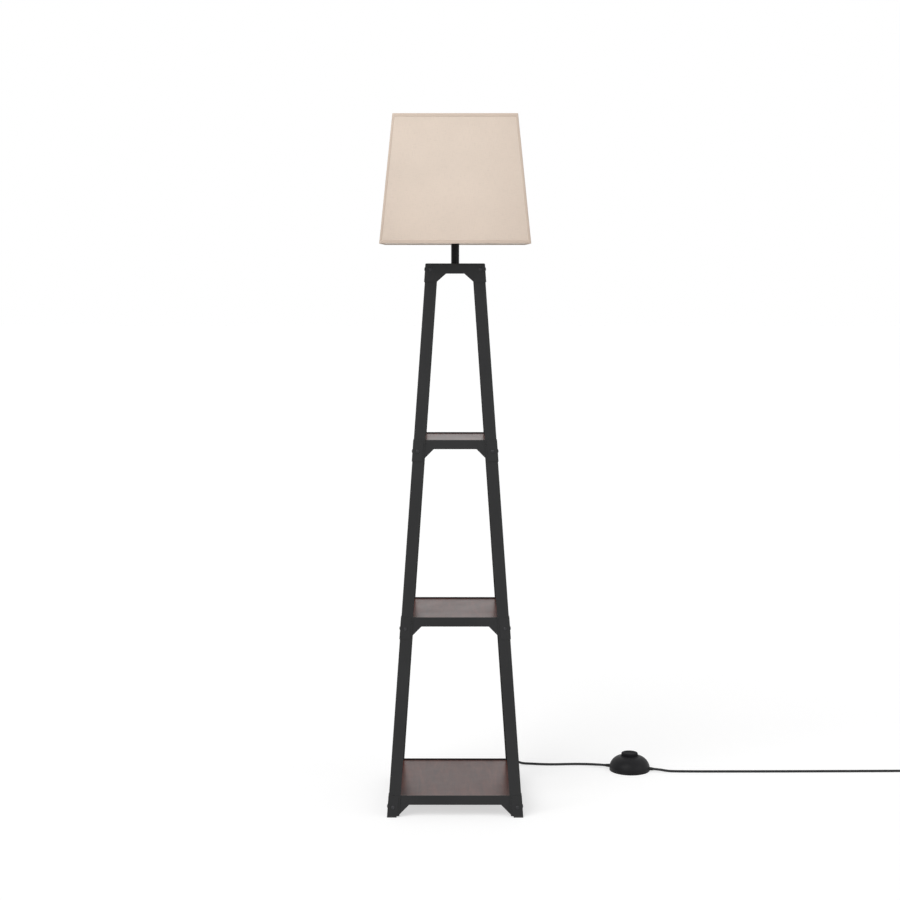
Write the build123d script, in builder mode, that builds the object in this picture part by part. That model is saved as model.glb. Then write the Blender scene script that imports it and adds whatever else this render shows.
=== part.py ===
"""Shelf floor lamp: a tapered square tower of folded sheet steel that holds three wooden
shelves, with a shaded lamp on a short stem and a foot switch on its cord. Millimetres, +Z up,
origin on the floor under the middle of the tower, front towards -Y."""

from build123d import *
from math import cos, pi, radians, sin, sqrt, tan
import os

os.makedirs("parts", exist_ok=True)

# ---- driving dimensions -------------------------------------------------------------------
# Tower: outside width of the legs at the floor and at the cap, and the shelf heights
base_width = 309.0
top_width = 134.0
first_shelf = 49.0
shelf_rise = 404.5

# Legs, brackets, trays and cap, all of folded sheet
leg_face = 27.0
leg_sheet = 1.8
leg_bend = 2.0
bracket_face = 24.0
bracket_sheet = 1.2
bracket_drop = 49.0
joint_drop = 12.0
joint_gap = 0.5
glide_height = 3.0
glide_face = 22.0
tray_sheet = 1.5
apron_drop = 21.0
gusset = 22.0
tray_lip = 3.0
ledge_width = 16.0
cap_sheet = 1.5
cap_skirt = 43.0
cap_apron_drop = 23.5
cap_gusset = 22.0
cap_bend = 2.0

# Boards
board_thickness = 9.0
board_gap = 1.0
board_notch = 14.0

# Screws with nuts, through bracket, leg and tray
screw_drop = 26.0
cap_screw_drop = 13.0
screw_shank = 4.0
screw_hole_gap = 0.2
screw_head = 8.4
screw_head_height = 1.8
nut_flats = 7.0
nut_height = 3.0
screw_end = 0.6

# Stem, nipple and lampholder
stem_diameter = 19.0
stem_wall = 1.5
nipple_diameter = 10.0
nipple_bore = 7.4
nipple_gap = 0.15
nipple_grip = 12.0
washer_diameter = 20.0
washer_height = 1.0
lock_nut_flats = 14.0
lock_nut_height = 3.0
holder_rise = 70.0
cup_diameter = 32.0
cup_height = 20.0
cup_wall = 1.6
cup_floor = 3.0
cup_bend = 5.0
holder_diameter = 34.0
holder_height = 18.0
holder_floor = 8.0
shoulder_diameter = 46.0
shoulder_height = 2.5
collar_diameter = 38.0
collar_height = 24.0
bulb_cap_gap = 0.5
ring_width = 5.0
ring_height = 7.0
ring_bevel = 1.2
turning_gap = 0.08

# Bulb
bulb_cap_diameter = 26.0
bulb_cap_height = 26.0
bulb_neck_radius = 12.4
bulb_neck_height = 12.0
bulb_radius = 30.0
bulb_height = 92.0
bulb_wall = 3.0

# Shade and its wire frame
total_height = 1600.0
shade_height = 293.0
shade_top_width = 283.0
shade_bottom_width = 341.0
shade_wall = 1.2
shade_wire = 3.6
shade_wire_bend = 9.0
shade_wire_inset = 4.0
wire_gap = 0.3
hub_width = 9.0
hub_height = 2.0

# Lead inside the frame
cord_diameter = 6.0
lead_inset = 12.0
lead_slack = 1.0
lead_cap_bend = 11.5
lead_turn_bend = 18.0
lead_leg_bend = 150.0
lead_exit_bend = 20.0
lead_exit_height = 70.0
lead_leave_height = 205.0
clip_heights = (250.0, 655.0, 1060.0)
clip_length = 12.0
clip_size = 15.0
clip_gap = 0.1
clip_mouth = 5.0
gland_flange = 15.0
gland_flange_height = 2.5
gland_length = 20.0
gland_root = 12.5
gland_tip_diameter = 8.6
gland_neck = 9.4
gland_gap = 0.1

# Foot switch, turned a little on the floor
switch_x = 435.5
switch_y = 221.0
switch_turn = -16.0
switch_shoulder = (41.0, 26.0)
switch_diameter = 100.0
switch_base_height = 4.0
switch_rim_height = 9.0
switch_dome_height = 35.0
switch_wall = 2.4
button_diameter = 41.0
button_top = 43.5
button_gap = 0.4
button_stop_gap = 0.7
button_wall = 2.5
button_edge = 2.5
button_stem = 10.0
button_flange = 3.0
button_flange_height = 2.5
button_travel = 3.5
unit_width = 26.0
unit_height = 12.0
unit_floor = 4.0
plunger_diameter = 8.0
plunger_floor_gap = 0.5
spring_gap = 0.3
plunger_length = 18.0
spring_diameter = 15.0
spring_wire = 1.4
spring_turns = 4
boot_height = 6.6
boot_reach = 61.0
boot_root = 9.0
boot_tip = 8.0
boot_anchor = 43.0
boot_gap = 0.1
boss_spread = 37.0
boss_diameter = 8.0
boss_height = 21.0
switch_screw = 3.0
switch_screw_head = 6.4
switch_screw_recess = 2.4
switch_screw_length = 14.0
switch_screw_gap = 0.08

# Free cord: its route on the floor, coil, plug and blades
cord_height = 3.2
coil_entry_y = 203.1
cord_lead_in = 16.0
bend_share = 0.45
drop_route = [(137, 210, 67.2), (139.2, 225.5, 53.5), (142.8, 237.5, 37.5), (148.3, 247.5, 22)]
drop_route += [(157, 255.5, 10.2), (170, 261, 4.2), (189, 262.2, cord_height)]
switch_route = [(216, 257.2, cord_height), (250, 255.3, cord_height), (288, 258.8, cord_height)]
switch_route += [(324, 258.6, 3.4)]
coil_route = [(529, 197.5, 3.4), (560, 196.2, cord_height), (620, 195.6, cord_height)]
coil_route += [(690, 196, cord_height), (760, 196.5, cord_height), (830, 197.2, cord_height)]
coil_route += [(900, 198, cord_height), (970, 199, cord_height), (1040, 200.2, cord_height)]
coil_route += [(1105, 201.5, cord_height), (1150, coil_entry_y, cord_height)]
coil_sample = 3.0
coil_x = 1182.0
coil_inner = 28.0
coil_pitch = 7.6
coil_rise = 6.8
coil_tail = 24.0
coil_half_turns_in = 3
coil_half_turns_out = 4
plug_boot = 20.0
plug_boot_tip = 8.0
plug_boot_root = 11.0
plug_length = 30.0
plug_width = 25.0
plug_edge = 4.0
blade_length = 17.0
blade_width = 6.3
blade_thickness = 1.5
blade_spacing = 12.7

# ---- the tower's shape --------------------------------------------------------------------
storeys = ["lower", "middle", "upper"]
shelf_levels = [first_shelf + n * shelf_rise for n in range(len(storeys))]
cap_level = first_shelf + len(storeys) * shelf_rise
lean = (base_width - top_width) / 2 / cap_level
corners = {"front_left": (-1, -1), "front_right": (1, -1), "rear_left": (-1, 1), "rear_right": (1, 1)}
lead_corner = "rear_right"


def half_width(height):
    """Half the outside width of the legs at a height above the floor."""
    return base_width / 2 - lean * height


def save(builder, name):
    """Labels a finished piece and writes it."""
    builder.part.label = name
    export_step(builder.part, f"parts/{name}.step")


def corner_prism(outline, corner, rise):
    """Extrudes a level sketch `rise` high along one corner of the tower."""
    sx, sy = corners[corner]
    up = Vector(-sx * lean, -sy * lean, 1)
    extrude(outline, amount=rise * up.length, dir=up)


def corner_angle(corner, low, high, outset, face, sheet):
    """An L-section up one corner of the tower, its outside `outset` beyond the legs."""
    sx, sy = corners[corner]
    edge = half_width(low) + outset
    with BuildSketch(Plane.XY.offset(low)) as outline:
        with BuildLine():
            Polyline(
                (sx * edge, sy * edge),
                (sx * (edge - face), sy * edge),
                (sx * (edge - face), sy * (edge - sheet)),
                (sx * (edge - sheet), sy * (edge - sheet)),
                (sx * (edge - sheet), sy * (edge - face)),
                (sx * edge, sy * (edge - face)),
                close=True,
            )
        make_face()
        fillet(vertices().sort_by_distance((sx * edge, sy * edge))[0], leg_bend)
    corner_prism(outline.sketch, corner, high - low)


def tapered_block(low, high, inset, mode=Mode.ADD):
    """A block with the tower's taper, its sides `inset` inside the legs' outer faces."""
    ends = []
    for level in (low, high):
        with BuildSketch(Plane.XY.offset(level)) as end:
            Rectangle(2 * (half_width(level) - inset), 2 * (half_width(level) - inset))
        ends.append(end.sketch)
    loft(ends, ruled=True, mode=mode)


def cut_windows(top, bottom, run):
    """Cuts the opening under an apron, with sloped upper corners, through all four walls."""
    side = half_width(bottom) - leg_face
    for plane in (Plane.XZ, Plane.YZ):
        with BuildSketch(plane) as window:
            with BuildLine():
                Polyline(
                    (-side, bottom - leg_face),
                    (-side, bottom),
                    (-side + run, top),
                    (side - run, top),
                    (side, bottom),
                    (side, bottom - leg_face),
                    close=True,
                )
            make_face()
        extrude(window.sketch, amount=base_width, both=True, mode=Mode.SUBTRACT)


def wall_plane(turn, across, height, outset):
    """A plane on one leaning wall, facing out. Turn 0 is the front, 90 the right side."""
    along = Vector(cos(radians(turn)), sin(radians(turn)), 0)
    outward = Vector(sin(radians(turn)), -cos(radians(turn)), 0)
    origin = along * across + outward * (half_width(height) + outset) + Vector(0, 0, height)
    return Plane(origin=origin, x_dir=along, z_dir=outward + Vector(0, 0, lean))


def screw_planes(height, outset, corner=None):
    """The planes that the screw heads of one level lie on, at all corners or at one."""
    across = half_width(height) + bracket_sheet - bracket_face / 2
    turns = (0, 90, 180, 270)
    planes = [wall_plane(turn, side * across, height, outset) for turn in turns for side in (-1, 1)]
    if corner is None:
        return planes
    sx, sy = corners[corner]
    return [plane for plane in planes if plane.origin.X * sx > 0 and plane.origin.Y * sy > 0]


def cut_screw_holes(height, outset, corner=None):
    """Cuts the screws' clearance holes through what is made so far."""
    for plane in screw_planes(height, outset, corner):
        with BuildSketch(plane) as hole:
            Circle(screw_shank / 2 + screw_hole_gap)
        extrude(hole.sketch, amount=bracket_face / 2, both=True, mode=Mode.SUBTRACT)


def round_bar(start, end, diameter):
    """A straight round bar that ends a quarter of its thickness short of the second point."""
    run = Vector(*end) - Vector(*start)
    with BuildSketch(Plane(origin=start, z_dir=run)) as end:
        Circle(diameter / 2)
    extrude(end.sketch, amount=run.length - diameter / 4)


# ---- legs, brackets, glides ---------------------------------------------------------------
def leg(storey, corner):
    """One L-section leg length. It starts on the glide or on the joint with the leg below."""
    level = shelf_levels[storey]
    low = glide_height if storey == 0 else level - joint_drop + joint_gap
    top_storey = storey == len(storeys) - 1
    high = cap_level - cap_sheet if top_storey else level + shelf_rise - joint_drop
    with BuildPart() as piece:
        corner_angle(corner, low, high, 0, leg_face, leg_sheet)
        if storey == 0:
            cut_screw_holes(level - screw_drop, bracket_sheet, corner)
        if top_storey:
            cut_screw_holes(cap_level - cap_screw_drop, cap_sheet, corner)
        else:
            cut_screw_holes(level + shelf_rise - screw_drop, bracket_sheet, corner)
        if storey == 0 and corner == lead_corner:
            with BuildSketch(gland_plane):
                Circle(gland_neck / 2 + gland_gap)
            extrude(amount=gland_flange, both=True, mode=Mode.SUBTRACT)
    save(piece, f"leg_{storeys[storey]}_{corner}")


def brackets(name, storey, group):
    """Outer corner plates at one shelf, each welded to the foot of the leg above it."""
    level = shelf_levels[storey]
    low = glide_height if storey == 0 else level - bracket_drop
    with BuildPart() as piece:
        for corner in group:
            corner_angle(corner, low, level, bracket_sheet, bracket_face, bracket_sheet)
        cut_screw_holes(level - screw_drop, bracket_sheet)
    save(piece, name)


def glides():
    """Plastic glides under the four feet."""
    with BuildPart() as piece:
        for corner in corners:
            corner_angle(corner, 0, glide_height, bracket_sheet, glide_face, leg_sheet + 2 * bracket_sheet)
    save(piece, "foot_glides")


# ---- trays, boards, cap -------------------------------------------------------------------
def lead_point(height):
    """Where the lead runs at a height, inside the rear right leg."""
    inset = half_width(height) - lead_inset
    return (inset, inset, height)


def tray(storey):
    """A shelf frame: four folded aprons with corner gussets and a ledge for the board."""
    level = shelf_levels[storey]
    low = level - apron_drop - gusset
    ledge_top = level - tray_lip - board_thickness
    reach = half_width(ledge_top) - leg_sheet - tray_sheet / 2
    inner = reach - ledge_width
    with BuildPart() as piece:
        tapered_block(low, level, leg_sheet)
        tapered_block(low - gusset, level + gusset, leg_sheet + tray_sheet, Mode.SUBTRACT)
        cut_windows(level - apron_drop, low, gusset)
        with BuildSketch(Plane.XY.offset(ledge_top)):
            Rectangle(2 * reach, 2 * reach)
            Rectangle(2 * inner, 2 * inner, mode=Mode.SUBTRACT)
            if storey > 0:
                with Locations(lead_point(ledge_top)[:2]):
                    Circle(cord_diameter / 2 + lead_slack, mode=Mode.SUBTRACT)
        extrude(amount=-tray_sheet)
        cut_screw_holes(level - screw_drop, bracket_sheet)
    save(piece, f"shelf_frame_{storeys[storey]}")


def board(storey):
    """A shelf board, notched at the rear right where the lead passes it."""
    level = shelf_levels[storey] - tray_lip
    side = 2 * (half_width(shelf_levels[storey]) - leg_sheet - tray_sheet - board_gap)
    with BuildPart() as piece:
        with BuildSketch(Plane.XY.offset(level)):
            Rectangle(side, side)
            if storey > 0:
                with Locations((side / 2, side / 2)):
                    Rectangle(2 * board_notch, 2 * board_notch, mode=Mode.SUBTRACT)
        extrude(amount=-board_thickness)
    save(piece, f"board_{storeys[storey]}")


def cap():
    """The folded top cap: a plate with skirts over the legs' upper ends."""
    low = cap_level - cap_skirt
    with BuildPart() as piece:
        tapered_block(low, cap_level, -cap_sheet)
        fillet(piece.edges().group_by(Axis.Z)[-1], cap_bend)
        tapered_block(low - cap_skirt, cap_level - cap_sheet, 0, Mode.SUBTRACT)
        cut_windows(cap_level - cap_apron_drop, low, cap_gusset)
        with BuildSketch(Plane.XY.offset(cap_level)):
            Circle(nipple_diameter / 2 + nipple_gap)
        extrude(amount=-cap_skirt, mode=Mode.SUBTRACT)
        cut_screw_holes(cap_level - cap_screw_drop, cap_sheet)
    save(piece, "top_cap")


# ---- screws and nuts ----------------------------------------------------------------------
# Height, distance outside the legs and thickness of the sheets, level by level
shelf_grip = bracket_sheet + leg_sheet + tray_sheet
shelf_seats = [(level - screw_drop, bracket_sheet, shelf_grip) for level in shelf_levels]
cap_seats = [(cap_level - cap_screw_drop, cap_sheet, cap_sheet + leg_sheet)]


def screws(name, seats):
    """The screws of some levels, heads outside."""
    with BuildPart() as piece:
        for height, outset, grip in seats:
            for plane in screw_planes(height, outset):
                with BuildSketch(plane):
                    Circle(screw_head / 2)
                extrude(amount=screw_head_height)
                with BuildSketch(plane):
                    Circle(screw_shank / 2)
                extrude(amount=-(grip + nut_height + screw_end))
    save(piece, name)


def nuts(name, seats):
    """The nuts inside the sheets of some levels."""
    with BuildPart() as piece:
        for height, outset, grip in seats:
            for plane in screw_planes(height, outset):
                with BuildSketch(plane.offset(-grip / sqrt(1 + lean**2))):
                    RegularPolygon(nut_flats / 2, 6, major_radius=False)
                    Circle(screw_shank / 2 + turning_gap, mode=Mode.SUBTRACT)
                extrude(amount=-nut_height)
    save(piece, name)


# ---- stem and lampholder ------------------------------------------------------------------
nipple_end = cap_level - cap_sheet - washer_height - lock_nut_height - screw_end
shade_low = total_height - shade_height
holder_base = shade_low + holder_rise
cup_top = holder_base + cup_height
shoulder_top = cup_top + holder_height + shoulder_height
bulb_seat = cup_top + holder_floor
hub_low = shoulder_top + turning_gap


def tube(name, low, high, outer, inner):
    """A plain round tube about the lamp's middle line."""
    with BuildPart() as piece:
        with BuildSketch(Plane.XY.offset(low)):
            Circle(outer / 2)
            Circle(inner / 2, mode=Mode.SUBTRACT)
        extrude(amount=high - low)
    save(piece, name)


def lock_nut():
    """The hexagon nut that pulls the nipple down against the cap."""
    top = cap_level - cap_sheet - washer_height
    with BuildPart() as piece:
        with BuildSketch(Plane.XY.offset(top)):
            RegularPolygon(lock_nut_flats / 2, 6, major_radius=False)
            Circle(nipple_diameter / 2 + turning_gap, mode=Mode.SUBTRACT)
        extrude(amount=-lock_nut_height)
    save(piece, "stem_lock_nut")


def holder_cup():
    """The metal cup under the lampholder, screwed on the nipple."""
    with BuildPart() as piece:
        with BuildSketch(Plane.XY.offset(holder_base)):
            Circle(cup_diameter / 2)
        extrude(amount=cup_height)
        fillet(piece.edges().group_by(Axis.Z)[0], cup_bend)
        with BuildSketch(Plane.XY.offset(holder_base + cup_floor)):
            Circle(cup_diameter / 2 - cup_wall - cup_bend / 2)
        extrude(amount=cup_bend, mode=Mode.SUBTRACT)
        with BuildSketch(Plane.XY.offset(holder_base + cup_floor + cup_bend / 2)):
            Circle(cup_diameter / 2 - cup_wall)
        extrude(amount=cup_height, mode=Mode.SUBTRACT)
        with BuildSketch(Plane.XY.offset(holder_base)):
            Circle(nipple_diameter / 2 + turning_gap)
        extrude(amount=cup_height, mode=Mode.SUBTRACT)
    save(piece, "lampholder_cup")


def holder_body():
    """The moulded lampholder: body, shoulder, threaded collar and the bore for the bulb."""
    with BuildPart() as piece:
        steps = ((cup_top, holder_diameter, holder_height),)
        steps += ((cup_top + holder_height, shoulder_diameter, shoulder_height),)
        steps += ((shoulder_top, collar_diameter, collar_height),)
        for low, diameter, height in steps:
            with BuildSketch(Plane.XY.offset(low)):
                Circle(diameter / 2)
            extrude(amount=height)
        with BuildSketch(Plane.XY.offset(cup_top + holder_floor)):
            Circle(bulb_cap_diameter / 2 + bulb_cap_gap)
        extrude(amount=holder_height + shoulder_height + collar_height, mode=Mode.SUBTRACT)
    save(piece, "lampholder_body")


def shade_ring():
    """The ring screwed down the collar, which keeps the shade's hub on the shoulder."""
    low = hub_low + hub_height + turning_gap
    with BuildPart() as piece:
        with BuildSketch(Plane.XY.offset(low)):
            Circle(collar_diameter / 2 + turning_gap + ring_width)
        extrude(amount=ring_height)
        chamfer(piece.edges().group_by(Axis.Z)[-1], ring_bevel)
        with BuildSketch(Plane.XY.offset(low)):
            Circle(collar_diameter / 2 + turning_gap)
        extrude(amount=ring_height, mode=Mode.SUBTRACT)
    save(piece, "shade_ring")


def bulb():
    """The bulb: a screw cap and a blown glass globe on a short neck."""
    glass_low = bulb_seat + bulb_cap_height
    with BuildPart() as screw_cap:
        with BuildSketch(Plane.XY.offset(bulb_seat)):
            Circle(bulb_cap_diameter / 2)
        extrude(amount=bulb_cap_height)
        chamfer(screw_cap.edges().group_by(Axis.Z)[0], bulb_cap_diameter / 5)
    save(screw_cap, "bulb_cap")
    centre = glass_low + bulb_height - bulb_radius
    side = radians(25)
    shoulder = (bulb_radius * cos(side), centre - bulb_radius * sin(side))
    crown = (0, centre + bulb_radius)
    with BuildPart() as glass:
        with BuildSketch(Plane.XZ):
            with BuildLine():
                Line((0, glass_low), (bulb_neck_radius, glass_low))
                Line((bulb_neck_radius, glass_low), (bulb_neck_radius, glass_low + bulb_neck_height))
                Line((bulb_neck_radius, glass_low + bulb_neck_height), shoulder)
                ThreePointArc(shoulder, (bulb_radius * cos(side), centre + bulb_radius * sin(side)), crown)
                Line(crown, (0, glass_low))
            make_face()
        revolve(axis=Axis.Z)
        offset(amount=-bulb_wall, openings=glass.faces().sort_by(Axis.Z)[0])
    save(glass, "bulb_glass")


# ---- shade --------------------------------------------------------------------------------
shade_lean = (shade_bottom_width - shade_top_width) / 2 / shade_height


def shade_half(height):
    """Half the shade's outside width at a height above the floor."""
    return shade_bottom_width / 2 - shade_lean * (height - shade_low)


def shade_cover():
    """The fabric cover, open at the top and the bottom."""
    with BuildPart() as piece:
        for inset, reach, mode in ((0, 0, Mode.ADD), (shade_wall, shade_wall, Mode.SUBTRACT)):
            for level in (shade_low - reach, total_height + reach):
                with BuildSketch(Plane.XY.offset(level)):
                    Rectangle(2 * (shade_half(level) - inset), 2 * (shade_half(level) - inset))
            loft(ruled=True, mode=mode)
    save(piece, "shade_cover")


def wire_half(height):
    """Half the width of the wire squares between the middles of the wire."""
    return shade_half(height) - shade_wall - wire_gap - shade_wire / 2


def shade_frame():
    """The welded wire frame: two wire squares, corner wires, spokes and the hub."""
    hub_middle = hub_low + hub_height / 2
    low_wire = shade_low + shade_wire_inset
    high_wire = total_height - shade_wire_inset
    hub_radius = collar_diameter / 2 + turning_gap + hub_width
    with BuildPart() as piece:
        for level in (low_wire, high_wire):
            half = wire_half(level)
            square = ((-half, -half), (half, -half), (half, half), (-half, half))
            with BuildLine(Plane.XY.offset(level)) as path:
                FilletPolyline(*square, radius=shade_wire_bend, close=True)
            with BuildSketch(Plane(origin=path.line @ 0, z_dir=path.line % 0)):
                Circle(shade_wire / 2)
            sweep(path=path.line)
        for sx, sy in corners.values():
            bend = shade_wire_bend * (1 - sqrt(0.5))
            low_end = (sx * (wire_half(low_wire) - bend), sy * (wire_half(low_wire) - bend), low_wire)
            high_end = (sx * (wire_half(high_wire) - bend), sy * (wire_half(high_wire) - bend), high_wire)
            root = (hub_radius - shade_wire / 2) * sqrt(0.5)
            round_bar(low_end, high_end, shade_wire)
            round_bar((sx * root, sy * root, hub_middle), low_end, shade_wire)
        with BuildSketch(Plane.XY.offset(hub_low)):
            Circle(hub_radius)
        extrude(amount=hub_height)
        with BuildSketch(Plane.XY.offset(hub_low - shade_wire)):
            Circle(collar_diameter / 2 + turning_gap)
        extrude(amount=hub_height + 2 * shade_wire, mode=Mode.SUBTRACT)
    save(piece, "shade_frame")


# ---- lead inside the frame ----------------------------------------------------------------
gland_plane = wall_plane(180, leg_face / 2 - half_width(lead_exit_height), lead_exit_height, 0)
gland_tip = gland_plane.offset(gland_length)
leg_thickness = leg_sheet / sqrt(1 + lean**2)


def cord(name, path):
    """Sweeps the cord's round section along a path, and prints how its volume compares."""
    with BuildPart() as piece:
        with BuildSketch(Plane(origin=path @ 0, z_dir=path % 0)):
            Circle(cord_diameter / 2)
        sweep(path=path)
    share = piece.part.volume / (pi * cord_diameter**2 / 4 * path.length)
    print(f"{name}: {path.length:.0f} mm long, {share:.4f} of the expected volume")
    save(piece, name)


def lead():
    """The lead: one length of cord from the lampholder through the frame to the gland."""
    high = nipple_end + screw_end - lead_cap_bend
    with BuildLine() as route:
        FilletPolyline(
            (0, 0, cup_top),
            (0, 0, high),
            lead_point(high),
            lead_point(lead_leave_height),
            gland_plane.offset(-1.5 * lead_exit_bend).origin,
            gland_tip.origin,
            radius=[lead_cap_bend, lead_turn_bend, lead_leg_bend, lead_exit_bend],
        )
    cord("lead", route.wires()[0])


def lead_clips():
    """Plastic clips stuck into the rear right leg, each open towards the middle."""
    with BuildPart() as piece:
        for low in clip_heights:
            outer = half_width(low) - leg_sheet
            inset = lead_point(low)[0]
            with BuildSketch(Plane.XY.offset(low)) as outline:
                with Locations((outer - clip_size / 2, outer - clip_size / 2)):
                    Rectangle(clip_size, clip_size)
                with Locations((inset, inset)):
                    Circle(cord_diameter / 2 + clip_gap, mode=Mode.SUBTRACT)
                with Locations(Location((inset, inset), 45)):
                    mouth = (Align.MAX, Align.CENTER)
                    Rectangle(2 * clip_size, clip_mouth, align=mouth, mode=Mode.SUBTRACT)
            corner_prism(outline.sketch, lead_corner, clip_length)
    save(piece, "lead_clips")


def lead_gland():
    """The rubber strain relief through the rear face of the leg."""
    with BuildPart() as piece:
        with BuildSketch(gland_plane.offset(-leg_thickness)):
            Circle(gland_flange / 2)
        extrude(amount=-gland_flange_height)
        with BuildSketch(gland_plane.offset(-leg_thickness)):
            Circle(gland_neck / 2)
        extrude(amount=leg_thickness)
        with BuildSketch(gland_plane):
            Circle(gland_flange / 2)
        extrude(amount=gland_flange_height)
        with BuildSketch(gland_plane.offset(gland_flange_height)):
            Circle(gland_root / 2)
        with BuildSketch(gland_tip):
            Circle(gland_tip_diameter / 2)
        loft()
        with BuildSketch(gland_tip):
            Circle(cord_diameter / 2 + gland_gap)
        extrude(amount=-gland_length - 2 * gland_flange_height, mode=Mode.SUBTRACT)
    save(piece, "lead_gland")


# ---- foot switch --------------------------------------------------------------------------
switch_axis = (cos(radians(switch_turn)), sin(radians(switch_turn)), 0)
switch_plane = Plane(origin=(switch_x, switch_y, 0), x_dir=switch_axis, z_dir=(0, 0, 1))
screw_spots = PolarLocations(boss_spread, 3, start_angle=90)
button_low = switch_dome_height - switch_wall - button_stop_gap - button_flange_height
unit_top = switch_base_height + unit_height
plunger_foot = unit_floor + button_travel + plunger_floor_gap


def disc(height, diameter, amount, mode=Mode.ADD):
    """A round disc of the foot switch, `amount` up from a height above the floor."""
    with BuildSketch(switch_plane.offset(height)) as end:
        Circle(diameter / 2)
    extrude(end.sketch, amount=amount, mode=mode)


def cut_boots():
    """Cuts the room of the two cord boots through the rim of the foot switch."""
    for side in (1, -1):
        start = switch_plane * Pos(side * boot_anchor, 0, boot_height)
        with BuildSketch(Plane(origin=start.position, z_dir=Vector(*switch_axis) * side)) as room:
            Circle(boot_root / 2 + boot_gap)
        extrude(room.sketch, amount=switch_diameter / 2 - boot_anchor + boot_gap, mode=Mode.SUBTRACT)


def switch_base():
    """The flat base, with countersunk seats for its three screws."""
    with BuildPart() as piece:
        disc(0, switch_diameter, switch_base_height)
        with BuildSketch(switch_plane):
            with screw_spots:
                Circle(switch_screw_head / 2 + boot_gap)
        extrude(amount=switch_screw_recess, mode=Mode.SUBTRACT)
        with BuildSketch(switch_plane):
            with screw_spots:
                Circle(switch_screw / 2 + switch_screw_gap)
        extrude(amount=switch_base_height, mode=Mode.SUBTRACT)
        cut_boots()
    save(piece, "switch_base")


def dome(inset, mode=Mode.ADD):
    """The domed shape of the foot switch's cover, `inset` inside its outer face."""
    rim = (switch_diameter / 2 - inset, switch_rim_height)
    shoulder = (switch_shoulder[0] - 0.72 * inset, switch_shoulder[1] - 0.7 * inset)
    mouth = (button_diameter / 2 + button_gap, switch_dome_height - inset)
    side = Plane(origin=switch_plane.origin, x_dir=switch_axis, z_dir=(switch_axis[1], -switch_axis[0], 0))
    with BuildSketch(side) as half:
        with BuildLine():
            Line((0, switch_base_height), (rim[0], switch_base_height))
            Line((rim[0], switch_base_height), rim)
            ThreePointArc(rim, shoulder, mouth)
            Line(mouth, (0, mouth[1]))
            Line((0, mouth[1]), (0, switch_base_height))
        make_face()
    revolve(half.sketch, axis=Axis(switch_plane.origin, (0, 0, 1)), mode=mode)


def switch_cover():
    """The domed cover with the button's opening and three screw bosses."""
    with BuildPart() as piece:
        dome(0)
        dome(switch_wall, Mode.SUBTRACT)
        disc(switch_base_height, button_diameter + 2 * button_gap, switch_dome_height, Mode.SUBTRACT)
        with BuildSketch(switch_plane.offset(switch_base_height)):
            with screw_spots:
                Circle(boss_diameter / 2)
        extrude(amount=boss_height)
        with BuildSketch(switch_plane.offset(switch_base_height)):
            with screw_spots:
                Circle(switch_screw / 2 + switch_screw_gap)
        extrude(amount=switch_screw_length, mode=Mode.SUBTRACT)
        cut_boots()
    save(piece, "switch_cover")


def switch_screws():
    """The three screws from below through the base into the bosses."""
    with BuildPart() as piece:
        with BuildSketch(switch_plane.offset(switch_screw_recess)):
            with screw_spots:
                Circle(switch_screw_head / 2)
        extrude(amount=0.4 - switch_screw_recess)
        with BuildSketch(switch_plane.offset(switch_screw_recess)):
            with screw_spots:
                Circle(switch_screw / 2)
        extrude(amount=switch_screw_length)
    save(piece, "switch_screws")


def switch_boots():
    """The two rubber boots where the cord enters and leaves the switch."""
    wall = switch_diameter / 2 - boot_anchor
    with BuildPart() as piece:
        for side in (1, -1):
            inner = switch_plane * Pos(side * boot_anchor, 0, boot_height)
            plane = Plane(origin=inner.position, z_dir=Vector(*switch_axis) * side)
            with BuildSketch(plane):
                Circle(boot_root / 2)
            extrude(amount=wall)
            with BuildSketch(plane.offset(wall)):
                Circle(boot_root / 2)
            with BuildSketch(plane.offset(boot_reach - boot_anchor)):
                Circle(boot_tip / 2)
            loft()
    save(piece, "switch_boots")


def switch_button():
    """The round push button: cap, retaining flange and the stem on the plunger."""
    with BuildPart() as piece:
        disc(button_low, button_diameter, button_top - button_low)
        fillet(piece.edges().group_by(Axis.Z)[-1], button_edge)
        disc(button_low, button_diameter + 2 * button_flange, button_flange_height)
        inside = button_top - button_wall - button_low
        disc(button_low, button_diameter - 2 * button_wall, inside, Mode.SUBTRACT)
        plunger_top = switch_base_height + plunger_foot + plunger_length
        disc(plunger_top, button_stem, button_top - button_wall - plunger_top)
    save(piece, "switch_button")


def switch_plunger():
    """The plunger that the button pushes into the switching unit."""
    with BuildPart() as piece:
        disc(switch_base_height + plunger_foot, plunger_diameter, plunger_length)
    save(piece, "switch_plunger")


def switch_unit():
    """The push-push switching unit on the base."""
    with BuildPart() as piece:
        with BuildSketch(switch_plane.offset(switch_base_height)):
            Rectangle(unit_width, unit_width)
        extrude(amount=unit_height)
        bore = plunger_diameter + 2 * turning_gap
        disc(switch_base_height + unit_floor, bore, unit_height - unit_floor, Mode.SUBTRACT)
    save(piece, "switch_unit")


# ---- wound forms: spring and coil ---------------------------------------------------------
def biarc(start, start_way, end, end_way):
    """Two arcs from one point and direction to another, joined without a kink."""
    across = end - start
    ways = start_way + end_way
    slack = 2 * (1 - start_way.dot(end_way))
    lean_in = across.dot(ways)
    reach = (sqrt(lean_in**2 + slack * across.dot(across)) - lean_in) / slack
    middle = (start + start_way * reach + end - end_way * reach) / 2
    way = (end - end_way * reach - start - start_way * reach).normalized()
    TangentArc(start, middle, tangent=start_way)
    TangentArc(middle, end, tangent=way)


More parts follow.
